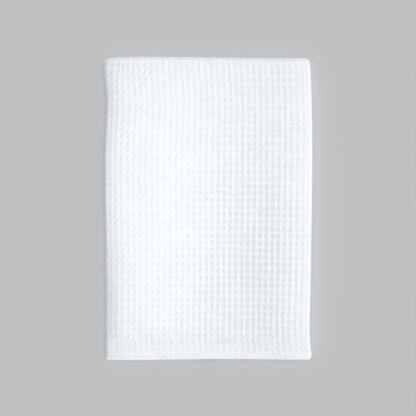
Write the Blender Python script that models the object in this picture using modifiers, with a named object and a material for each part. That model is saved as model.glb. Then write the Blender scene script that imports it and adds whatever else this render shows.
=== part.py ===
"""Waffle-weave dish towel, folded and lying flat.

It is one rectangle of cloth with a hem at each end. Its long sides are folded
under to the middle of the back, and it is then folded in half across its
length, with those flaps inside. The half fold lies at +Y and the two hemmed
ends lie together at -Y. Metres, +Z up, at rest on Z = 0, with the origin under
the middle of the folded towel.

The cloth starts as a flat grid. Each line of the grid across the width, and
each one along the length, has a place in the fold, and Solidify then gives
the folded sheet its thickness.
"""

from collections import namedtuple
from math import cos, pi, sin, sqrt

import bmesh
import bpy

# Thickness of the cloth, of its stitched hems, and of the hems' rounded lips
CLOTH = 0.0020
HEM = 0.0024
LIP = 0.0012

# Depth of a hem, the share of it that has its full thickness, and the depth of the lip at its outer edge
HEM_DEPTH = 0.0180
HEM_FULL = 0.6
LIP_DEPTH = 0.0012

# How far the side folds reach outwards past the flat of their panels
LEFT_BEND = 0.0032
RIGHT_BEND = 0.0026

# Width of the face's outer part at each side, the power of its fall to the side fold, and its drop at the right
LEFT_ROLL = 0.0230
LEFT_ROUNDNESS = 2.5
RIGHT_ROLL = 0.0185
RIGHT_ROUNDNESS = 2.0
RIGHT_DROP = 0.0015

# Place of the shallow dip down the face, how late the face rises from it to the right crest, as a power of the
# way there, and the gap between the two flaps
DIP_X = -0.0030
SKEW = 1.45
FLAP_GAP = 0.0120

# Corner radii, in plan
TOP_LEFT_CORNER = 0.0040
TOP_RIGHT_CORNER = 0.0034
HEM_LEFT_CORNER = 0.0012
HEM_RIGHT_CORNER = 0.0040

# Sections across the folded towel, from its half fold to its hems: the places of the two sides, the width
# and drop of the face's roll down to the left one, and the heights of the face at its left crest, in its dip
# and at its right crest
Section = namedtuple("Section", "y left right left_reach left_drop left_crest dip right_crest")
SECTIONS = (
    Section(0.1517, -0.1042, 0.1016, 0.0200, 0.0026, 0.0112, 0.0108, 0.0116),
    Section(0.1350, -0.1040, 0.1028, 0.0180, 0.0042, 0.0127, 0.0111, 0.0128),
    Section(0.1080, -0.1018, 0.1037, 0.0180, 0.0044, 0.0129, 0.0107, 0.0140),
    Section(0.0600, -0.1036, 0.1042, 0.0210, 0.0032, 0.0122, 0.0102, 0.0151),
    Section(0.0100, -0.1036, 0.1038, 0.0230, 0.0031, 0.0122, 0.0099, 0.0160),
    Section(-0.0350, -0.1028, 0.1031, 0.0220, 0.0040, 0.0127, 0.0097, 0.0164),
    Section(-0.0800, -0.1025, 0.1024, 0.0200, 0.0064, 0.0143, 0.0097, 0.0162),
    Section(-0.1130, -0.1026, 0.1016, 0.0200, 0.0064, 0.0143, 0.0103, 0.0156),
    Section(-0.1255, -0.1028, 0.1018, 0.0200, 0.0050, 0.0130, 0.0102, 0.0145),
    Section(-0.1365, -0.1025, 0.1025, 0.0210, 0.0014, 0.0109, 0.0094, 0.0123),
    Section(-0.1450, -0.1020, 0.1033, 0.0220, 0.0020, 0.0124, 0.0118, 0.0130),
    Section(-0.1517, -0.1027, 0.1036, 0.0220, 0.0020, 0.0124, 0.0119, 0.0129),
)

# Ends of the folded towel at places across it: its half fold, and its front hem
End = namedtuple("End", "x fold hem")
ENDS = (
    End(-0.1042, 0.1503, -0.1514),
    End(-0.0880, 0.1512, -0.1517),
    End(-0.0400, 0.1517, -0.1512),
    End(0.0180, 0.1512, -0.1506),
    End(0.0600, 0.1507, -0.1509),
    End(0.1042, 0.1504, -0.1514),
)

# How far short of the front hem each other layer's hem stops
FRONT_FLAP_SETBACK = 0.0016
BACK_FLAP_SETBACK = 0.0024
BACK_SETBACK = 0.0010

# Parts of the cloth in order across its width and along its length, with the number of grid steps in each
Stretch = namedtuple("Stretch", "part steps")
ACROSS = (
    Stretch("left flap", 4),
    Stretch("left bend", 6),
    Stretch("left roll", 5),
    Stretch("face", 14),
    Stretch("right roll", 4),
    Stretch("right bend", 6),
    Stretch("right flap", 4),
)
ALONG = (
    Stretch("front lip", 2),
    Stretch("front hem", 4),
    Stretch("front", 22),
    Stretch("half fold", 8),
    Stretch("back", 10),
    Stretch("back hem", 4),
    Stretch("back lip", 2),
)

Across = namedtuple("Across", "side zone inward out depth")
Along = namedtuple("Along", "zone inward turn space thickness")

WHITE_COTTON = (0.90, 0.92, 0.94, 1.0)
COTTON_ROUGHNESS = 0.95
SHARP_ANGLE = pi / 4


def mix(start, end, share):
    """The value at this share of the way from start to end."""
    return start + (end - start) * share


def curve_through(rows, column, at):
    """The value of a column at a place, on a smooth curve through the rows, whose first column is the place."""
    places = [row[0] for row in rows]
    values = [getattr(row, column) for row in rows]
    if places[0] > places[-1]:
        places.reverse()
        values.reverse()
    at = min(max(at, places[0]), places[-1])
    last = len(places) - 1
    low = max(i for i in range(last) if places[i] <= at)

    def slope(i):
        before, after = max(i - 1, 0), min(i + 1, last)
        return (values[after] - values[before]) / (places[after] - places[before])

    span = places[low + 1] - places[low]
    t = (at - places[low]) / span
    rise = t * t * (3 - 2 * t)
    bend = slope(low) * t * (1 - t) ** 2 - slope(low + 1) * t * t * (1 - t)
    return mix(values[low], values[low + 1], rise) + span * bend


def face_height(x, y):
    """Height of the folded towel's face: two crests with a dip between them, rolling down to the side folds."""
    left, right, left_reach, left_drop, left_crest, dip, right_crest = (
        curve_through(SECTIONS, column, y) for column in Section._fields[1:]
    )
    crest_left, crest_right = left + left_reach, right - RIGHT_ROLL
    if x < crest_left:
        return left_crest - left_drop * ((crest_left - x) / left_reach) ** LEFT_ROUNDNESS
    if x > crest_right:
        return right_crest - RIGHT_DROP * ((x - crest_right) / RIGHT_ROLL) ** RIGHT_ROUNDNESS
    if x < DIP_X:
        return mix(dip, left_crest, (1 + cos(pi * (x - crest_left) / (DIP_X - crest_left))) / 2)
    return mix(dip, right_crest, (1 - cos(pi * ((x - DIP_X) / (crest_right - DIP_X)) ** SKEW)) / 2)


def corner_inset(radius, distance):
    """How far a rounded corner draws the side in, at this distance from the end of the towel."""
    if distance >= radius:
        return 0.0
    return radius - sqrt(radius**2 - (radius - distance) ** 2)


def lines(stretches):
    """The part of the cloth and the share of the way along it, for every line of the grid in order."""
    found = [(stretches[0].part, 0.0)]
    for stretch in stretches:
        found += [(stretch.part, step / stretch.steps) for step in range(1, stretch.steps + 1)]
    return found


def place_across(part, share):
    """Where a line of the grid lies across the towel.

    Gives its side, -1 or 1, its zone, how far in from the outer edge of that
    zone it lies, how far out it stands in the side bend, and how deep it lies
    under the face, from 0 on the face to 1 on the flap.
    """
    side = -1 if part.startswith("left") else 1
    inward = share if side < 0 else 1 - share
    if part.endswith("flap"):
        return Across(side, "flap", 1 - inward, 0.0, 1.0)
    if part.endswith("bend"):
        angle = pi * (1 - inward)
        return Across(side, "bend", 0.0, sin(angle), (1 - cos(angle)) / 2)
    if part.endswith("roll"):
        return Across(side, "roll", inward, 0.0, 0.0)
    return Across(side, "face", inward, 0.0, 0.0)


def place_along(part, share):
    """Where a line of the grid lies along the towel.

    Gives its zone, the distance in from the hem or the share of the way from
    the hem to the half fold, the turn round that fold, from 0 to pi, and the
    thickness there, of the layer's space and of the cloth in it.
    """
    if part == "half fold":
        return Along("fold", 0.0, pi * share, CLOTH, CLOTH)
    turn = pi if part.startswith("back") else 0.0
    inward = 1 - share if turn else share
    if part.endswith("lip"):
        return Along("hem", LIP_DEPTH * inward, turn, HEM, mix(LIP, HEM, sqrt(1 - (1 - inward) ** 2)))
    if part.endswith("hem"):
        thinning = max(0.0, (inward - HEM_FULL) / (1 - HEM_FULL))
        thickness = mix(HEM, CLOTH, thinning)
        return Along("hem", mix(LIP_DEPTH, HEM_DEPTH, inward), turn, thickness, thickness)
    return Along("panel", inward, turn, CLOTH, CLOTH)


def x_of(across, along, y):
    """The place across the towel of a line of the grid, at this place along it."""
    left = curve_through(SECTIONS, "left", y)
    right = curve_through(SECTIONS, "right", y)
    if along.zone == "fold":
        left += TOP_LEFT_CORNER * (1 - abs(cos(along.turn)))
        right -= TOP_RIGHT_CORNER * (1 - abs(cos(along.turn)))
    elif along.zone == "hem":
        left += corner_inset(HEM_LEFT_CORNER, along.inward)
        right -= corner_inset(HEM_RIGHT_CORNER, along.inward)
    roll_left, roll_right = left + LEFT_ROLL, right - RIGHT_ROLL
    if across.zone == "face":
        return mix(roll_right, roll_left, across.inward)
    if across.side < 0:
        edge, roll, bend, gap = left + CLOTH / 2 + LEFT_BEND, roll_left, LEFT_BEND, -FLAP_GAP / 2
    else:
        edge, roll, bend, gap = right - CLOTH / 2 - RIGHT_BEND, roll_right, RIGHT_BEND, FLAP_GAP / 2
    if across.zone == "flap":
        return mix(edge, gap, across.inward)
    return mix(edge, roll, across.inward) + across.side * bend * across.out


def y_of(across, along, x):
    """The place along the towel of a line of the grid where its flat part ends, at this place across it."""
    front = (1 + cos(along.turn)) / 2
    back_setback = mix(BACK_SETBACK, BACK_FLAP_SETBACK, across.depth)
    setback = mix(back_setback, FRONT_FLAP_SETBACK * across.depth, front)
    hem = curve_through(ENDS, "hem", x) + setback
    if along.zone == "hem":
        return hem + along.inward
    fold = curve_through(ENDS, "fold", x)
    start = fold - face_height(x, fold) / 2
    return start if along.zone == "fold" else mix(hem + HEM_DEPTH, start, along.inward)


def folded_point(across, along):
    """The place of one point of the cloth's middle surface in the folded towel."""
    nearby = {"hem": SECTIONS[-1].y, "fold": SECTIONS[0].y}
    rough_y = nearby.get(along.zone, mix(SECTIONS[-1].y, SECTIONS[0].y, along.inward))
    y = y_of(across, along, x_of(across, along, rough_y))
    x = x_of(across, along, y)

    # The four layers share the height of the face, and the half fold turns round the middle of it.
    height = face_height(x, y)
    spacing = (height - along.space) / 3
    reach = (height - along.space) / 2 - spacing * across.depth
    if along.zone == "fold":
        y += reach * sin(along.turn)
    return x, y, height / 2 + reach * cos(along.turn)


def folded_sheet(name):
    """A mesh of the cloth's middle surface as it lies folded, and each point's thickness."""
    across = [place_across(*line) for line in lines(ACROSS)]
    along = [place_along(*line) for line in lines(ALONG)]
    columns, rows = len(across) - 1, len(along) - 1
    sheet = bmesh.new()
    bmesh.ops.create_grid(sheet, x_segments=columns, y_segments=rows, size=0.5)
    thicknesses = []
    for point in sheet.verts:
        column = round((point.co.x + 0.5) * columns)
        row = round((point.co.y + 0.5) * rows)
        point.co = folded_point(across[column], along[row])
        thicknesses.append(along[row].thickness)
    mesh = bpy.data.meshes.new(name)
    sheet.to_mesh(mesh)
    sheet.free()
    return mesh, thicknesses


def cotton():
    """White cotton, matt."""
    material = bpy.data.materials.new("white_waffle_cotton")
    material.use_nodes = True
    shader = material.node_tree.nodes["Principled BSDF"]
    shader.inputs["Base Color"].default_value = WHITE_COTTON
    shader.inputs["Roughness"].default_value = COTTON_ROUGHNESS
    shader.inputs["Metallic"].default_value = 0.0
    return material


def build_towel(collection):
    """The folded towel, as one closed solid."""
    mesh, thicknesses = folded_sheet("towel")
    towel = bpy.data.objects.new("towel", mesh)
    collection.objects.link(towel)

    fullness = towel.vertex_groups.new(name="fullness")
    for index, thickness in enumerate(thicknesses):
        fullness.add([index], (thickness - LIP) / (HEM - LIP), "REPLACE")
    solidify = towel.modifiers.new("thickness", "SOLIDIFY")
    solidify.thickness = HEM
    solidify.offset = 0.0
    solidify.vertex_group = fullness.name
    solidify.thickness_vertex_group = LIP / HEM

    mesh.materials.append(cotton())
    mesh.shade_smooth()
    mesh.set_sharp_from_angle(angle=SHARP_ANGLE)
    return towel


def main():
    for leftover in list(bpy.data.objects):
        bpy.data.objects.remove(leftover, do_unlink=True)
    collection = bpy.data.collections.new("dish_towel")
    bpy.context.scene.collection.children.link(collection)
    build_towel(collection)


main()
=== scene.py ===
"""White waffle-weave dish towel, folded and lying flat on a pale studio floor.

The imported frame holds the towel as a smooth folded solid. This script weaves the
cloth that shows: one closed sheet, carried through the same folds, with a rib and a
pocket for every cell of the waffle, hems, and the stitching that holds them. Sizes
are in metres, and places in the cloth are counted in waffle cells.
"""

import logging
from dataclasses import astuple, dataclass, field, fields
from enum import Enum, IntEnum
from math import cos, pi, radians, sin

import bpy
import numpy as np
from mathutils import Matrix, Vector


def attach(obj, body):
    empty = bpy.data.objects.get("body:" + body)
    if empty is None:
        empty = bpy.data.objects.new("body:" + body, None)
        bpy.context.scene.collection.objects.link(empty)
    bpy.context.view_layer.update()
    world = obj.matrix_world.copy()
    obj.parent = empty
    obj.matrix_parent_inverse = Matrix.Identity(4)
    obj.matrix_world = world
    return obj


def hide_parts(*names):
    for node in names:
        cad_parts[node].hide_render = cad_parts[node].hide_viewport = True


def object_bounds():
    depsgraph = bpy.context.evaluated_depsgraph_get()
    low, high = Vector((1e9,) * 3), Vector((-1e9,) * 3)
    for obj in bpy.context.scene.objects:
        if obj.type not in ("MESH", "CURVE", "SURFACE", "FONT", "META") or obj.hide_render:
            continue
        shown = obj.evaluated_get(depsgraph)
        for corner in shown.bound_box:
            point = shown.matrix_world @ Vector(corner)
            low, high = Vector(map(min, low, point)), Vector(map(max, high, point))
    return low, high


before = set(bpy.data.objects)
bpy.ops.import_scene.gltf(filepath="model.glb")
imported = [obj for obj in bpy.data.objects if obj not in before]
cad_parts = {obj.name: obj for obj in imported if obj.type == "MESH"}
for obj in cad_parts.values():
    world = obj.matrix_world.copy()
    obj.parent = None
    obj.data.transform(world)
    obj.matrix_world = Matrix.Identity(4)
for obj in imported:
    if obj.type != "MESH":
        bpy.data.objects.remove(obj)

CAD_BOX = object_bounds()
BODY = "root"
NODE = "towel"
SLOT = "white_waffle_cotton"

Array = np.ndarray
LOG = logging.getLogger("dish_towel")


@dataclass(frozen=True)
class Section:
    """One section across the folded towel, at a place along it.

    Holds the places of its two sides, the width of the face's roll down to the left one and how far
    it drops there, and the heights of the face at its left crest, in its dip and at its right crest.
    """

    y: float
    left: float
    right: float
    left_reach: float
    left_drop: float
    left_crest: float
    dip: float
    right_crest: float


@dataclass(frozen=True)
class End:
    """The half fold's and the front hem's places along the towel, at a place across it."""

    x: float
    fold: float
    hem: float


@dataclass(frozen=True)
class ProfilePoint:
    """A place within a waffle cell, from 0 to 1, and the height there, from 0 in a pocket to 1 on a rib."""

    phase: float
    height: float


@dataclass(frozen=True)
class HemRow:
    """A place in the cloth, in cells from the end of the hem, and its distance in from that end."""

    cell: float
    inward: float


@dataclass(frozen=True)
class Patch:
    """A soft-edged patch of the face: its middle and reach in cells, and how much deeper its pockets are."""

    column: float
    column_reach: float
    row: float
    row_reach: float
    deeper: float


SECTIONS = (
    Section(0.1517, -0.1042, 0.1016, 0.0200, 0.0026, 0.0112, 0.0108, 0.0116),
    Section(0.1350, -0.1040, 0.1028, 0.0180, 0.0042, 0.0127, 0.0111, 0.0128),
    Section(0.1080, -0.1018, 0.1037, 0.0180, 0.0044, 0.0129, 0.0107, 0.0140),
    Section(0.0600, -0.1036, 0.1042, 0.0210, 0.0032, 0.0122, 0.0102, 0.0151),
    Section(0.0100, -0.1036, 0.1038, 0.0230, 0.0031, 0.0122, 0.0099, 0.0160),
    Section(-0.0350, -0.1028, 0.1031, 0.0220, 0.0040, 0.0127, 0.0097, 0.0164),
    Section(-0.0800, -0.1025, 0.1024, 0.0200, 0.0064, 0.0143, 0.0097, 0.0162),
    Section(-0.1130, -0.1026, 0.1016, 0.0200, 0.0064, 0.0143, 0.0103, 0.0156),
    Section(-0.1255, -0.1028, 0.1018, 0.0200, 0.0050, 0.0130, 0.0102, 0.0145),
    Section(-0.1365, -0.1025, 0.1025, 0.0210, 0.0014, 0.0109, 0.0094, 0.0123),
    Section(-0.1450, -0.1020, 0.1033, 0.0220, 0.0020, 0.0124, 0.0118, 0.0130),
    Section(-0.1517, -0.1027, 0.1036, 0.0220, 0.0020, 0.0124, 0.0119, 0.0129),
)

ENDS = (
    End(-0.1042, 0.1503, -0.1514),
    End(-0.0880, 0.1512, -0.1517),
    End(-0.0400, 0.1517, -0.1512),
    End(0.0180, 0.1512, -0.1506),
    End(0.0600, 0.1507, -0.1509),
    End(0.1042, 0.1504, -0.1514),
)

WARP_PROFILE = (
    ProfilePoint(0.0, 1.0),
    ProfilePoint(0.09, 0.62),
    ProfilePoint(0.27, 0.18),
    ProfilePoint(0.50, 0.0),
    ProfilePoint(0.73, 0.12),
    ProfilePoint(0.91, 0.62),
)

WEFT_PROFILE = (
    ProfilePoint(0.0, 0.86),
    ProfilePoint(0.12, 0.74),
    ProfilePoint(0.29, 0.08),
    ProfilePoint(0.71, 0.08),
    ProfilePoint(0.88, 0.74),
)

HEM_ROWS = (
    HemRow(0.0, 0.0),
    HemRow(0.85, 0.0051),
    HemRow(1.85, 0.0126),
    HemRow(2.85, 0.0211),
    HemRow(3.85, 0.0271),
)

LOOSE = Patch(25.0, 10.5, 14.0, 15.0, 0.46)
IRONED = Patch(9.5, 7.0, 26.0, 17.0, -0.17)


def mix(start: Array | float, end: Array | float, share: Array | float) -> Array | float:
    """The value at this share of the way from start to end."""
    return start + (end - start) * share


def smooth_step(low: float, high: float, at: Array) -> Array:
    """A soft step that rises from 0 at low to 1 at high."""
    t = np.clip((at - low) / (high - low), 0.0, 1.0)
    return t * t * (3.0 - 2.0 * t)


def hump(middle: float, reach: float, at: Array) -> Array:
    """A soft bump of height 1 at the middle, fading out over about its reach to each side."""
    return np.exp(-(((at - middle) / reach) ** 2))


def curve_through(rows: tuple, column: str, at: Array) -> Array:
    """Reads one column of a table on a smooth curve through its rows.

    Args:
        rows: the table's rows, in order of their first column, either way up.
        column: the name of the column to read.
        at: the places to read it at, in terms of the first column.

    Returns:
        The column's value at each place, held level past the table's ends.
    """
    place = np.array([astuple(row)[0] for row in rows])
    value = np.array([getattr(row, column) for row in rows])
    if place[0] > place[-1]:
        place, value = place[::-1], value[::-1]
    last = len(place) - 1
    before = np.maximum(np.arange(last + 1) - 1, 0)
    after = np.minimum(np.arange(last + 1) + 1, last)
    slope = (value[after] - value[before]) / (place[after] - place[before])
    at = np.clip(at, place[0], place[-1])
    low = np.clip(np.searchsorted(place, at, side="right") - 1, 0, last - 1)
    span = place[low + 1] - place[low]
    t = (at - place[low]) / span
    rise = t * t * (3.0 - 2.0 * t)
    bend = slope[low] * t * (1.0 - t) ** 2 - slope[low + 1] * t * t * (1.0 - t)
    return mix(value[low], value[low + 1], rise) + span * bend


class Zone(IntEnum):
    """The parts of the cloth across its width, in order."""

    LEFT_FLAP = 0
    LEFT_BEND = 1
    LEFT_ROLL = 2
    FACE = 3
    RIGHT_ROLL = 4
    RIGHT_BEND = 5
    RIGHT_FLAP = 6


@dataclass(frozen=True)
class FoldedForm:
    """The form that the cloth is folded into, as a place in space for every place in the cloth."""

    cloth: float = 0.0020
    hem: float = 0.0024
    hem_depth: float = 0.0180
    hem_full: float = 0.6
    lip: float = 0.0012
    lip_depth: float = 0.0012
    left_bend: float = 0.0032
    right_bend: float = 0.0026
    left_roll: float = 0.0230
    right_roll: float = 0.0185
    right_drop: float = 0.0015
    left_roundness: float = 2.5
    right_roundness: float = 2.0
    skew: float = 1.45
    dip_x: float = -0.0030
    flap_gap: float = 0.0120
    top_left_corner: float = 0.0040
    top_right_corner: float = 0.0034
    hem_left_corner: float = 0.0012
    hem_right_corner: float = 0.0040
    front_flap_setback: float = 0.0016
    back_flap_setback: float = 0.0024
    back_setback: float = 0.0010
    crowding: float = 1.18
    width_bounds: tuple = (-17.0, -1.5, 0.2, 3.7, 31.15, 33.65, 35.15, 50.65)
    fold_start: float = 41.7
    fold_cells: float = 2.2

    @property
    def length(self) -> float:
        """Length of the cloth in cells, from hem to hem."""
        return 2.0 * self.fold_start + self.fold_cells

    def face_height(self, x: Array, y: Array) -> Array:
        """Height of the face, with two crests, a dip between them, and a roll down to each side fold.

        Args:
            x: places across the towel.
            y: places along the towel.

        Returns:
            The face's height above the surface that the towel lies on, at each place.
        """
        left, right, left_reach, left_drop, left_crest, dip, right_crest = (
            curve_through(SECTIONS, column.name, y) for column in fields(Section)[1:]
        )
        crest_left, crest_right = left + left_reach, right - self.right_roll
        to_left = (1.0 + np.cos(pi * (x - crest_left) / (self.dip_x - crest_left))) / 2.0
        along_rise = np.clip((x - self.dip_x) / (crest_right - self.dip_x), 0.0, 1.0) ** self.skew
        to_right = (1.0 - np.cos(pi * along_rise)) / 2.0
        middle = np.where(x < self.dip_x, mix(dip, left_crest, to_left), mix(dip, right_crest, to_right))
        left_fall = np.clip((crest_left - x) / left_reach, 0.0, None) ** self.left_roundness
        right_fall = np.clip((x - crest_right) / self.right_roll, 0.0, None) ** self.right_roundness
        left_side = left_crest - left_drop * left_fall
        right_side = right_crest - self.right_drop * right_fall
        return np.where(x < crest_left, left_side, np.where(x > crest_right, right_side, middle))

    def inward(self, row: Array) -> Array:
        """Distance in from the nearer hem.

        Args:
            row: places along the cloth, in cells.

        Returns:
            How far each place lies from the end of the cloth, in metres.
        """
        near = np.minimum(row, self.length - row)
        last = HEM_ROWS[-1]
        flat_end = ENDS[0].fold - SECTIONS[0].left_crest / 2.0 - ENDS[0].hem
        pitch = (flat_end - last.inward) / (self.fold_start - last.cell)
        in_hem = np.interp(near, [line.cell for line in HEM_ROWS], [line.inward for line in HEM_ROWS])
        return np.where(near < last.cell, in_hem, last.inward + (near - last.cell) * pitch)

    def thickness(self, row: Array) -> tuple[Array, Array]:
        """Thickness along the cloth.

        Args:
            row: places along the cloth, in cells.

        Returns:
            The thickness of the space that each layer takes up there, and of the cloth in it.
        """
        inward = self.inward(row)
        hem_share = (inward - self.lip_depth) / (self.hem_depth - self.lip_depth)
        thinning = np.clip((hem_share - self.hem_full) / (1.0 - self.hem_full), 0.0, 1.0)
        space = mix(self.hem, self.cloth, thinning)
        outward = np.clip(1.0 - inward / self.lip_depth, 0.0, 1.0)
        rounded = mix(self.lip, self.hem, np.sqrt(1.0 - outward**2))
        return space, np.where(inward < self.lip_depth, rounded, space)

    def turn(self, row: Array) -> Array:
        """The turn round the half fold, from 0 on the front to pi on the back."""
        return pi * np.clip((row - self.fold_start) / self.fold_cells, 0.0, 1.0)

    def depth(self, column: Array) -> tuple[Array, Array]:
        """How the cloth goes round the side bends.

        Args:
            column: places across the cloth, in cells.

        Returns:
            How deep under the face the cloth lies, from 0 to 1, and how far out it stands, along X.
        """
        bounds = self.width_bounds
        left = np.clip((column - bounds[1]) / (bounds[2] - bounds[1]), 0.0, 1.0)
        right = np.clip((column - bounds[5]) / (bounds[6] - bounds[5]), 0.0, 1.0)
        under = (1.0 + np.cos(pi * left)) / 2.0 + (1.0 - np.cos(pi * right)) / 2.0
        return under, self.right_bend * np.sin(pi * right) - self.left_bend * np.sin(pi * left)

    def x_of(self, column: Array, row: Array, y: Array) -> Array:
        """The place across the towel of a place in the cloth, at this place along the towel.

        Args:
            column: places across the cloth, in cells.
            row: places along the cloth, in cells.
            y: their places along the towel.

        Returns:
            Their places across the towel.
        """
        left, right = curve_through(SECTIONS, "left", y), curve_through(SECTIONS, "right", y)
        rounding = 1.0 - np.abs(np.cos(self.turn(row)))
        left = left + self.top_left_corner * rounding
        right = right - self.top_right_corner * rounding
        inward = self.inward(row)
        for radius, side in ((self.hem_left_corner, 0), (self.hem_right_corner, 1)):
            short = np.clip(radius - inward, 0.0, radius)
            inset = radius - np.sqrt(radius**2 - short**2)
            left, right = (left + inset, right) if side == 0 else (left, right - inset)
        half = self.cloth / 2.0
        edge_left, edge_right = left + half + self.left_bend, right - half - self.right_bend
        gap = np.full_like(edge_left, self.flap_gap / 2.0)
        roll_left, roll_right = left + self.left_roll, right - self.right_roll
        stops = (-gap, edge_left, edge_left, roll_left, roll_right, edge_right, edge_right, gap)
        zone = np.clip(np.searchsorted(self.width_bounds, column, side="right") - 1, 0, Zone.RIGHT_FLAP)
        bounds = np.array(self.width_bounds)
        share = np.clip((column - bounds[zone]) / (bounds[zone + 1] - bounds[zone]), 0.0, 1.0)
        share = np.where(zone == Zone.LEFT_ROLL, share**self.crowding, share)
        zone, share = np.broadcast_arrays(zone, share)
        stops = [np.broadcast_to(stop, zone.shape) for stop in stops]
        flat = mix(np.choose(zone, stops[:-1]), np.choose(zone, stops[1:]), share)
        return flat + self.depth(column)[1]

    def y_of(self, column: Array, row: Array, x: Array) -> Array:
        """The place along the towel where the flat part of a place in the cloth ends.

        Args:
            column: places across the cloth, in cells.
            row: places along the cloth, in cells.
            x: their places across the towel.

        Returns:
            Their places along the towel, short of the reach of the half fold.
        """
        under, turn = self.depth(column)[0], self.turn(row)
        front = (1.0 + np.cos(turn)) / 2.0
        back_setback = mix(self.back_setback, self.back_flap_setback, under)
        hem = curve_through(ENDS, "hem", x) + mix(back_setback, self.front_flap_setback * under, front)
        fold = curve_through(ENDS, "fold", x)
        start = fold - self.face_height(x, fold) / 2.0
        inward = self.inward(row)
        whole = self.inward(np.array(self.fold_start))
        share = np.clip((inward - self.hem_depth) / (whole - self.hem_depth), 0.0, 1.0)
        return np.where(inward < self.hem_depth, hem + inward, mix(hem + self.hem_depth, start, share))

    def place(self, column: Array, row: Array) -> Array:
        """The place in space of the cloth's middle surface.

        Args:
            column: places across the cloth, in cells.
            row: places along the cloth, in cells.

        Returns:
            Their places in the folded towel, with x, y and z along the last axis.
        """
        share = np.clip(self.inward(row) / self.inward(np.array(self.fold_start)), 0.0, 1.0)
        rough_y = mix(SECTIONS[-1].y, SECTIONS[0].y, share)
        y = self.y_of(column, row, self.x_of(column, row, rough_y))
        x = self.x_of(column, row, y)
        height, space = self.face_height(x, y), self.thickness(row)[0]
        turn, under = self.turn(row), self.depth(column)[0]
        reach = (height - space) * (0.5 - under / 3.0)
        y, z = y + reach * np.sin(turn), height / 2.0 + reach * np.cos(turn)
        return np.stack(np.broadcast_arrays(x, y, z), axis=-1)

    def outward(self, column: Array, row: Array, step: float = 0.02) -> Array:
        """The direction out of the cloth's face at each place in it.

        Args:
            column: places across the cloth, in cells.
            row: places along the cloth, in cells.
            step: how far to each side the slope is read, in cells.

        Returns:
            Unit vectors, along the last axis.
        """
        column = np.clip(column, self.width_bounds[0] + step, self.width_bounds[-1] - step)
        row = np.clip(row, step, self.length - step)
        across = self.place(column + step, row) - self.place(column - step, row)
        along = self.place(column, row + step) - self.place(column, row - step)
        normal = np.cross(across, along)
        return normal / np.linalg.norm(normal, axis=-1, keepdims=True)


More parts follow.
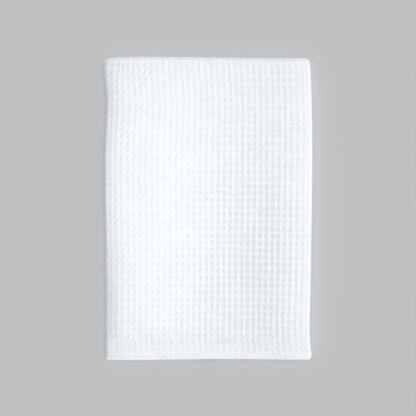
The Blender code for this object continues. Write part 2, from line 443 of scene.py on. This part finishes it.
@dataclass(frozen=True)
class WaffleWeave:
    """The waffle: raised ribs round a pocket in every cell, as uneven as woven cotton is."""

    pocket: float = 0.00106
    slackness: float = 0.60
    back_phases: tuple = (0.0, 0.33, 0.67)
    fold_phases: tuple = (0.0, 0.125, 0.25, 0.375, 0.5, 0.625, 0.75, 0.875)
    row_shift: float = 0.15
    lean: float = 0.12
    left_lean: float = 0.34
    hem_lean: float = -0.42
    hem_lean_spread: float = 2.4
    stitch_row: float = 0.56
    stitch_depth: float = 0.00060
    unevenness: float = 0.03
    lean_unevenness: float = 0.16
    wander: float = 0.014
    waves: int = 7
    crush: float = 0.40
    crush_row: float = 2.6
    crush_reach: float = 0.9
    crumple: float = 0.00065
    hem_slack: float = 0.78
    worn: float = 0.18
    fold_flatness: float = 0.8
    band_flatness: float = 0.7
    fan: float = 0.8
    fan_column: float = 1.6
    fan_reach: float = 1.9
    fan_rows: float = 3.5
    seed: int = 7

    @staticmethod
    def rib(profile: tuple, phase: Array) -> Array:
        """Height of a rib at a place within the cell.

        Args:
            profile: the rib's profile across one cell.
            phase: places within the cell, from 0 to 1.

        Returns:
            Heights, from 0 in a pocket to 1 on a rib.
        """
        phases = [point.phase for point in profile] + [1.0]
        heights = [point.height for point in profile] + [profile[0].height]
        return np.interp(phase, phases, heights)

    def slack(self, column: Array, row: Array) -> Array:
        """How deep the pockets stand open: flatter at the left, deepest at the lower right.

        Args:
            column: places across the cloth, in cells.
            row: places along the cloth, in cells.

        Returns:
            The share of its full depth that each pocket has, about 1 at most.
        """
        open_share = self.slackness
        for patch in (LOOSE, IRONED):
            across = hump(patch.column, patch.column_reach, column)
            open_share = open_share + patch.deeper * across * hump(patch.row, patch.row_reach, row)
        left_edge = 0.05 * (1.0 - smooth_step(1.0, 4.0, column))
        right_edge = 0.16 * smooth_step(30.0, 32.5, column)
        return open_share + left_edge - right_edge

    def relief(self, column: Array, row: Array, form: FoldedForm) -> Array:
        """Height of the cloth's face below the tops of its ribs.

        Args:
            column: places across the cloth, in cells.
            row: places along the cloth, in cells.
            form: the folded form, for how far each row lies from its hem.

        Returns:
            Heights in metres, from 0 on a rib down to minus the depth of a pocket.
        """
        rng = np.random.default_rng(self.seed)
        shape = (120, 120)
        depth_of = rng.normal(1.0, self.unevenness, shape)
        rib_of = rng.normal(0.0, self.unevenness, shape)
        shifted = row + self.row_shift
        cell = (np.floor(shifted).astype(int) + 2, np.floor(column).astype(int) + 30)
        rib = (cell[0], np.rint(column).astype(int) + 30)
        warp_phase, weft_phase = column - np.floor(column), shifted - np.floor(shifted)
        warp_rib, weft_rib = self.rib(WARP_PROFILE, warp_phase), self.rib(WEFT_PROFILE, weft_phase)
        sunk = (1.0 - warp_rib) * (1.0 - weft_rib)
        depth = self.pocket * np.clip(depth_of[cell], 0.5, 1.4)
        near_end = np.minimum(row, form.length - row)
        crushed = 1.0 - self.crush * hump(self.crush_row, self.crush_reach, near_end)
        pressed = self.slack(column, row) * crushed * mix(self.hem_slack, 1.0, smooth_step(1.6, 2.1, near_end))
        worn = self.worn * rib_of[rib] * warp_rib * np.sin(pi * weft_phase)
        trough = hump(self.crush_row, 1.4 * self.crush_reach, near_end)
        crumpled = self.crumple * trough * rng.random(sunk.shape)
        return -depth * pressed * (sunk - np.minimum(worn, 0.0)) - crumpled

    def stitches(self, column: Array, row: Array, form: FoldedForm) -> Array:
        """The hems' rows of stitches, two to a cell.

        Args:
            column: places across the cloth, in cells.
            row: places along the cloth, in cells.
            form: the folded form, for its length from hem to hem.

        Returns:
            How deep the stitches pull the face in, in metres.
        """
        near_end = np.minimum(row, form.length - row)
        holes = ((1.0 + np.cos(4.0 * pi * column)) / 2.0) ** 2
        return self.stitch_depth * hump(self.stitch_row, 0.06, near_end) * holes

    def strayed(self, column: Array, row: Array, form: FoldedForm) -> tuple[Array, Array]:
        """Where the threads really lie.

        Ribs lean within each cell, wander slowly from line to line, and fan out at one corner.

        Args:
            column: places across the cloth on a true grid, in cells.
            row: places along the cloth on a true grid, in cells.
            form: the folded form, for where the hems are.

        Returns:
            The same places after the threads have strayed, across and along.
        """
        rng = np.random.default_rng(self.seed + 1)
        near_end = np.minimum(row, form.length - row)
        across, along = np.zeros_like(column + row), np.zeros_like(column + row)
        for _ in range(self.waves):
            waves = rng.uniform(9.0, 30.0, 2)
            start = rng.uniform(0.0, 2.0 * pi, 4)
            turns = [2.0 * pi * place / wave for place in (row, column) for wave in waves]
            across += np.sin(turns[0] + start[0]) * np.cos(turns[3] + start[1])
            along += np.sin(turns[2] + start[2]) * np.cos(turns[1] + start[3])
        calm = smooth_step(0.0, 4.0, near_end)
        shifted = row + self.row_shift
        phase = shifted - np.floor(shifted)
        saw = np.interp(phase, (0.0, 0.12, 0.88, 1.0), (0.0, -0.38, 0.38, 0.0))
        per_cell = rng.normal(1.0, self.lean_unevenness, (120, 120))
        cell = (np.floor(shifted).astype(int) + 2, np.rint(column).astype(int) + 30)
        spread = self.hem_lean_spread * smooth_step(18.0, 30.0, column)
        in_hem = 1.0 - smooth_step(1.9, 3.4, near_end - spread)
        plain_lean = mix(self.left_lean, self.lean, smooth_step(5.0, 20.0, column))
        lean = mix(plain_lean, self.hem_lean, in_hem)
        from_fold = row - form.fold_start - form.fold_cells / 2.0
        fan = self.fan * hump(self.fan_column, self.fan_reach, column) * hump(0.0, self.fan_rows, from_fold)
        strayed_column = column + self.wander * across + lean * saw * per_cell[cell] + fan
        return strayed_column, row + self.wander * along * calm


@dataclass(frozen=True)
class WhiteCotton:
    """Washed white cotton: matt, a little cool, with lint, fuzz and the ply of the yarn in its surface, and
    painted shade in its pockets.
    """

    name: str = SLOT
    colour: tuple = (0.809, 0.815, 0.832, 1.0)
    shade: tuple = (0.779, 0.793, 0.816, 1.0)
    # The next two fields paint shade into the pockets: a darker colour mixed in where the face lies deep, and
    # how fast that painted shade deepens.
    thin: tuple = (0.92, 0.925, 0.93, 1.0)
    thinning: float = 1.5
    roughness: float = 0.92
    sheen: float = 0.25
    sheen_roughness: float = 0.5
    blotches: float = 38.0
    lint: float = 650.0
    lint_tone: tuple = (0.971, 1.029)
    yarn: float = 0.00045
    yarn_height: float = 0.00002
    fuzz: float = 1400.0
    fuzz_height: float = 0.00002

    def material(self) -> bpy.types.Material:
        """Builds the node material.

        Returns:
            The cotton's material.
        """
        material = bpy.data.materials.new(self.name)
        material.use_nodes = True
        nodes, links = material.node_tree.nodes, material.node_tree.links
        shader = nodes["Principled BSDF"]
        shader.inputs["Roughness"].default_value = self.roughness
        shader.inputs["Sheen Weight"].default_value = self.sheen
        shader.inputs["Sheen Roughness"].default_value = self.sheen_roughness

        place = nodes.new("ShaderNodeAttribute")
        place.attribute_name = "cloth_place"
        blotches = nodes.new("ShaderNodeTexNoise")
        blotches.inputs["Scale"].default_value = self.blotches
        blotches.inputs["Detail"].default_value = 4.0
        links.new(place.outputs["Vector"], blotches.inputs["Vector"])
        ramp = nodes.new("ShaderNodeValToRGB")
        ramp.color_ramp.elements[0].position = 0.3
        ramp.color_ramp.elements[0].color = self.shade
        ramp.color_ramp.elements[1].position = 0.62
        ramp.color_ramp.elements[1].color = self.colour
        links.new(blotches.outputs["Fac"], ramp.inputs["Fac"])
        # Painted shade: the colour is multiplied darker where the face lies deep in the pockets, the crumpled
        # trough and the stitch dimples.
        pocket = nodes.new("ShaderNodeAttribute")
        pocket.attribute_name = "pocket_depth"
        pocket_shaded = nodes.new("ShaderNodeMix")
        pocket_shaded.data_type = "RGBA"
        pocket_shaded.blend_type = "MULTIPLY"
        pocket_shaded.inputs["B"].default_value = self.thin
        links.new(pocket.outputs["Fac"], pocket_shaded.inputs["Factor"])
        links.new(ramp.outputs["Color"], pocket_shaded.inputs["A"])
        lint = nodes.new("ShaderNodeTexNoise")
        lint.inputs["Scale"].default_value = self.lint
        lint.inputs["Detail"].default_value = 1.0
        links.new(place.outputs["Vector"], lint.inputs["Vector"])
        tone = nodes.new("ShaderNodeMapRange")
        tone.inputs["From Min"].default_value = 0.3
        tone.inputs["From Max"].default_value = 0.7
        tone.inputs["To Min"].default_value = self.lint_tone[0]
        tone.inputs["To Max"].default_value = self.lint_tone[1]
        links.new(lint.outputs["Fac"], tone.inputs["Value"])
        toned = nodes.new("ShaderNodeMix")
        toned.data_type = "RGBA"
        toned.blend_type = "MULTIPLY"
        toned.inputs["Factor"].default_value = 1.0
        links.new(pocket_shaded.outputs["Result"], toned.inputs["A"])
        links.new(tone.outputs["Result"], toned.inputs["B"])
        links.new(toned.outputs["Result"], shader.inputs["Base Color"])

        split = nodes.new("ShaderNodeSeparateXYZ")
        links.new(place.outputs["Vector"], split.inputs["Vector"])
        threads = []
        for axis in ("X", "Y"):
            wave = nodes.new("ShaderNodeMath")
            wave.operation = "MULTIPLY"
            wave.inputs[1].default_value = 2.0 * pi / self.yarn
            links.new(split.outputs[axis], wave.inputs[0])
            sine = nodes.new("ShaderNodeMath")
            sine.operation = "SINE"
            links.new(wave.outputs["Value"], sine.inputs[0])
            threads.append(sine)
        crossing = nodes.new("ShaderNodeMath")
        crossing.operation = "MULTIPLY"
        links.new(threads[0].outputs["Value"], crossing.inputs[0])
        links.new(threads[1].outputs["Value"], crossing.inputs[1])
        yarn = nodes.new("ShaderNodeBump")
        yarn.inputs["Distance"].default_value = self.yarn_height
        links.new(crossing.outputs["Value"], yarn.inputs["Height"])
        fuzz_noise = nodes.new("ShaderNodeTexNoise")
        fuzz_noise.inputs["Scale"].default_value = self.fuzz
        fuzz_noise.inputs["Detail"].default_value = 3.0
        links.new(place.outputs["Vector"], fuzz_noise.inputs["Vector"])
        fuzz = nodes.new("ShaderNodeBump")
        fuzz.inputs["Distance"].default_value = self.fuzz_height
        links.new(fuzz_noise.outputs["Fac"], fuzz.inputs["Height"])
        links.new(yarn.outputs["Normal"], fuzz.inputs["Normal"])
        links.new(fuzz.outputs["Normal"], shader.inputs["Normal"])
        return material


@dataclass
class TowelCloth:
    """The cloth itself, woven as one closed sheet and folded."""

    form: FoldedForm = field(default_factory=FoldedForm)
    weave: WaffleWeave = field(default_factory=WaffleWeave)
    finish: WhiteCotton = field(default_factory=WhiteCotton)
    flat_width: float = 0.406
    flat_length: float = 0.610
    flap_step: float = 2.0
    lip_rows: tuple = (0.0, 0.04, 0.10, 0.17, 0.28)

    def columns(self) -> tuple[Array, Array]:
        """The lines that run along the cloth.

        Returns:
            Their places in cells, and which of them the reverse has too.
        """
        bounds = self.form.width_bounds
        found = {bounds[0]: True, bounds[-1]: True}
        for start, end in (bounds[:2], bounds[-2:]):
            found.update({at: True for at in np.arange(start, end + 0.01, self.flap_step)})
        for start, end in ((bounds[1], bounds[2]), (bounds[5], bounds[6])):
            found.update({at: index % 2 == 0 for index, at in enumerate(np.linspace(start, end, 15))})
        for cell in range(int(bounds[2]) - 1, int(bounds[5]) + 1):
            for point in WARP_PROFILE:
                if bounds[2] + 0.05 < cell + point.phase < bounds[5] - 0.05:
                    found[cell + point.phase] = point is WARP_PROFILE[0]
        places = np.array(sorted(found))
        return places, np.array([found[at] for at in places])

    def rows(self) -> tuple[Array, Array]:
        """The lines that run across the cloth.

        Returns:
            Their places in cells, and which of them the reverse has too.
        """
        form, weave = self.form, self.weave
        found = {}
        for at in self.lip_rows:
            found[at] = at in (self.lip_rows[0], self.lip_rows[2])
            found[form.length - at] = found[at]
        found[form.length - weave.stitch_row] = False
        fold_end = form.fold_start + form.fold_cells
        for cell in range(int(form.length) + 2):
            for phases, start, end in (
                (tuple(point.phase for point in WEFT_PROFILE), self.lip_rows[-1] + 0.05, form.fold_start),
                (weave.fold_phases, form.fold_start, fold_end),
                (weave.back_phases, fold_end, form.length - self.lip_rows[-1] - 0.05),
            ):
                for phase in phases:
                    at = cell + phase - weave.row_shift
                    if start < at < end:
                        found[at] = phase == 0.0 or (phases is weave.fold_phases and phase in (0.25, 0.5, 0.75))
        places = np.array(sorted(found))
        return places, np.array([found[at] for at in places])

    def surfaces(self, columns: Array, rows: Array) -> tuple[Array, Array, Array]:
        """Both surfaces of the folded cloth.

        Args:
            columns: the lines that run along the cloth, in cells.
            rows: the lines that run across the cloth, in cells.

        Returns:
            The places of the points on the face, and of those on the reverse,
            and how far each point of the face lies below the tops of the ribs, as a negative height.
        """
        column, row = np.meshgrid(columns, rows)
        stray_column, stray_row = self.weave.strayed(column, row, self.form)
        middle = self.form.place(stray_column, stray_row)
        outward = self.form.outward(stray_column, stray_row)
        half = self.form.thickness(stray_row)[1][..., None] / 2.0
        relief = self.weave.relief(column, row, self.form)
        under = self.form.depth(stray_column)[0]
        relief = relief * (1.0 - smooth_step(0.4, 1.0, under))
        plain = 0.45 * smooth_step(6.0, 18.0, column)
        lip = smooth_step(0.1, 0.5, np.minimum(row, self.form.length - row) - plain)
        crown = 1.0 - self.weave.fold_flatness * np.sin(self.form.turn(row))
        in_band = smooth_step(33.0, 33.8, column) * (1.0 - smooth_step(34.8, 35.2, column))
        relief = relief * lip * crown * (1.0 - self.weave.band_flatness * in_band)
        relief -= self.weave.stitches(column, row, self.form) * (1.0 - smooth_step(0.4, 1.0, under))
        return middle + outward * (half + relief[..., None]), middle - outward * half, relief

    def build(self) -> bpy.types.Object:
        """Weaves and folds the cloth, as one closed mesh.

        Returns:
            The folded cloth.
        """
        columns, both_columns = self.columns()
        rows, both_rows = self.rows()
        face, reverse, relief = self.surfaces(columns, rows)
        keep_rows, keep_columns = np.flatnonzero(both_rows), np.flatnonzero(both_columns)
        reverse = reverse[np.ix_(keep_rows, keep_columns)]
        points = np.concatenate([face.reshape(-1, 3), reverse.reshape(-1, 3)])
        front = np.arange(face.shape[0] * face.shape[1]).reshape(face.shape[:2])
        back = np.arange(reverse.shape[0] * reverse.shape[1]).reshape(reverse.shape[:2]) + front.size

        faces = self.quads(front) + [quad[::-1] for quad in self.quads(back)]
        faces += self.rim(front[0], back[0], keep_columns)
        faces += [edge[::-1] for edge in self.rim(front[-1], back[-1], keep_columns)]
        faces += [edge[::-1] for edge in self.rim(front[:, 0], back[:, 0], keep_rows)]
        faces += self.rim(front[:, -1], back[:, -1], keep_rows)

        mesh = bpy.data.meshes.new("towel_cloth")
        mesh.from_pydata(points.tolist(), [], faces)
        assert np.isfinite(points).all(), "the cloth has a point with no place"
        mesh.validate()
        pitch = (self.flat_width / (columns[-1] - columns[0]), self.flat_length / rows[-1])
        grid = np.stack(np.meshgrid(columns * pitch[0], rows * pitch[1]), axis=-1)
        flat = np.zeros((len(points), 3))
        flat[: front.size, :2] = grid.reshape(-1, 2)
        flat[front.size:, :2] = grid[np.ix_(keep_rows, keep_columns)].reshape(-1, 2)
        place = mesh.attributes.new("cloth_place", "FLOAT_VECTOR", "POINT")
        place.data.foreach_set("vector", flat.astype(np.float32).ravel())
        # Mask for the painted pocket shade: how deep each point of the face lies, as a share of the full pocket
        # depth.
        sunk = np.zeros(len(points), dtype=np.float32)
        sunk[: front.size] = np.clip(-relief / self.weave.pocket, 0.0, 1.2).ravel() ** self.finish.thinning
        mesh.attributes.new("pocket_depth", "FLOAT", "POINT").data.foreach_set("value", sunk)
        mesh.shade_smooth()
        mesh.materials.append(self.finish.material())
        cloth = bpy.data.objects.new("towel_cloth", mesh)
        bpy.context.scene.collection.objects.link(cloth)
        return cloth

    @staticmethod
    def quads(grid: Array) -> list:
        """The four-sided faces between the points of a grid."""
        corners = (grid[:-1, :-1], grid[:-1, 1:], grid[1:, 1:], grid[1:, :-1])
        return np.stack(corners, axis=-1).reshape(-1, 4).tolist()

    @staticmethod
    def rim(fine: Array, coarse: Array, kept: Array) -> list:
        """The faces that close the cloth's edge between its finer face and its coarser reverse.

        Args:
            fine: the points along one edge of the face.
            coarse: the points along the same edge of the reverse.
            kept: which of the face's points the reverse has too.

        Returns:
            The faces, each as a list of its points.
        """
        found = []
        for index in range(len(kept) - 1):
            start, end = kept[index], kept[index + 1]
            found.append(coarse[index:index + 2].tolist() + fine[start:end + 1][::-1].tolist())
        return found


@dataclass(frozen=True)
class PaleFloor:
    """A plain pale floor under the towel."""

    size: float = 4.0
    colour: tuple = (0.95, 0.94, 0.93, 1.0)
    gap: float = 0.0001

    def build(self) -> bpy.types.Object:
        """Lays the floor just under the towel's lowest point.

        Returns:
            The floor.
        """
        bpy.ops.mesh.primitive_plane_add(size=self.size, location=(0.0, 0.0, CAD_BOX[0][2] - self.gap))
        floor = bpy.context.object
        floor.name = "studio_floor"
        material = bpy.data.materials.new("studio_floor")
        material.use_nodes = True
        shader = material.node_tree.nodes["Principled BSDF"]
        shader.inputs["Base Color"].default_value = self.colour
        shader.inputs["Roughness"].default_value = 1.0
        shader.inputs["Specular IOR Level"].default_value = 0.0
        floor.data.materials.append(material)
        return floor


class Lamp(Enum):
    """The studio's soft boxes: place, width, length along Y, power, and whether each is flagged.

    A flagged lamp lights the towel alone, and throws no pool of light or shadow on the floor.
    """

    KEY = ((1.52, -0.32, 0.80), 1.4, 1.4, 20.0, True)
    STRIP = ((-0.065, 0.01, 0.27), 0.12, 0.34, 0.25, True)
    BACK = ((0.0, 1.5, 0.45), 0.6, 1.8, 6.2, True)
    FRONT = ((0.0, -1.5, 0.45), 0.6, 1.8, 5.5, True)
    TOP = ((0.0, 0.0, 2.0), 1.6, 1.6, 9.0, False)


@dataclass(frozen=True)
class SoftStudio:
    """Soft light from the right and from above, in an even pale surround."""

    surround: float = 0.36
    horizon: float = 0.85
    horizon_height: float = 0.45
    tint: tuple = (0.93, 0.97, 1.0, 1.0)

    def build(self, flagged: bpy.types.Collection) -> None:
        """Hangs the soft boxes and lights the surround.

        Args:
            flagged: what the flagged lamps light.
        """
        for lamp in Lamp:
            place, width, length, power, is_flagged = lamp.value
            light = bpy.data.lights.new(lamp.name.lower(), "AREA")
            light.shape = "RECTANGLE"
            light.size = width
            light.size_y = length
            light.energy = power
            holder = bpy.data.objects.new(lamp.name.lower(), light)
            holder.location = place
            holder.rotation_euler = Vector(place).to_track_quat("Z", "X").to_euler()
            holder.visible_camera = False
            bpy.context.scene.collection.objects.link(holder)
            if is_flagged:
                holder.light_linking.receiver_collection = flagged
        world = bpy.data.worlds.new("surround")
        world.use_nodes = True
        nodes, links = world.node_tree.nodes, world.node_tree.links
        background = nodes["Background"]
        background.inputs["Color"].default_value = self.tint
        direction = nodes.new("ShaderNodeTexCoord")
        split = nodes.new("ShaderNodeSeparateXYZ")
        fade = nodes.new("ShaderNodeMapRange")
        fade.interpolation_type = "SMOOTHSTEP"
        fade.inputs["From Max"].default_value = self.horizon_height
        fade.inputs["To Min"].default_value = self.horizon
        fade.inputs["To Max"].default_value = self.surround
        links.new(direction.outputs["Generated"], split.inputs["Vector"])
        links.new(split.outputs["Z"], fade.inputs["Value"])
        links.new(fade.outputs["Result"], background.inputs["Strength"])
        bpy.context.scene.world = world
        bpy.context.scene.view_settings.view_transform = "Standard"


@dataclass(frozen=True)
class OverheadCamera:
    """A long lens straight above the towel."""

    lens: float = 100.0
    sensor: float = 36.0
    view: float = 0.4135

    def build(self) -> bpy.types.Object:
        """Hangs the camera so that its view is the given width at the height of the towel's face.

        Returns:
            The camera.
        """
        low, high = CAD_BOX
        data = bpy.data.cameras.new("overhead")
        data.lens = self.lens
        data.sensor_width = self.sensor
        camera = bpy.data.objects.new("overhead", data)
        middle = [(low[axis] + high[axis]) / 2.0 for axis in range(2)]
        camera.location = (middle[0], middle[1], high[2] + self.view * self.lens / self.sensor)
        bpy.context.scene.collection.objects.link(camera)
        bpy.context.scene.camera = camera
        return camera


def main() -> None:
    """Builds the camera, the studio and the towel, attaches the cloth to its body and hides the imported part.
    """
    logging.basicConfig(level=logging.INFO, format="%(name)s: %(message)s")
    OverheadCamera().build()
    PaleFloor().build()
    towel = TowelCloth()
    cloth = towel.build()
    flagged = bpy.data.collections.new("flagged")
    flagged.objects.link(cloth)
    SoftStudio().build(flagged)
    LOG.info("%s: %d points, %d faces", cloth.name, len(cloth.data.vertices), len(cloth.data.polygons))
    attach(cloth, BODY)
    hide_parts(NODE)


if __name__ == "__main__":
    main()
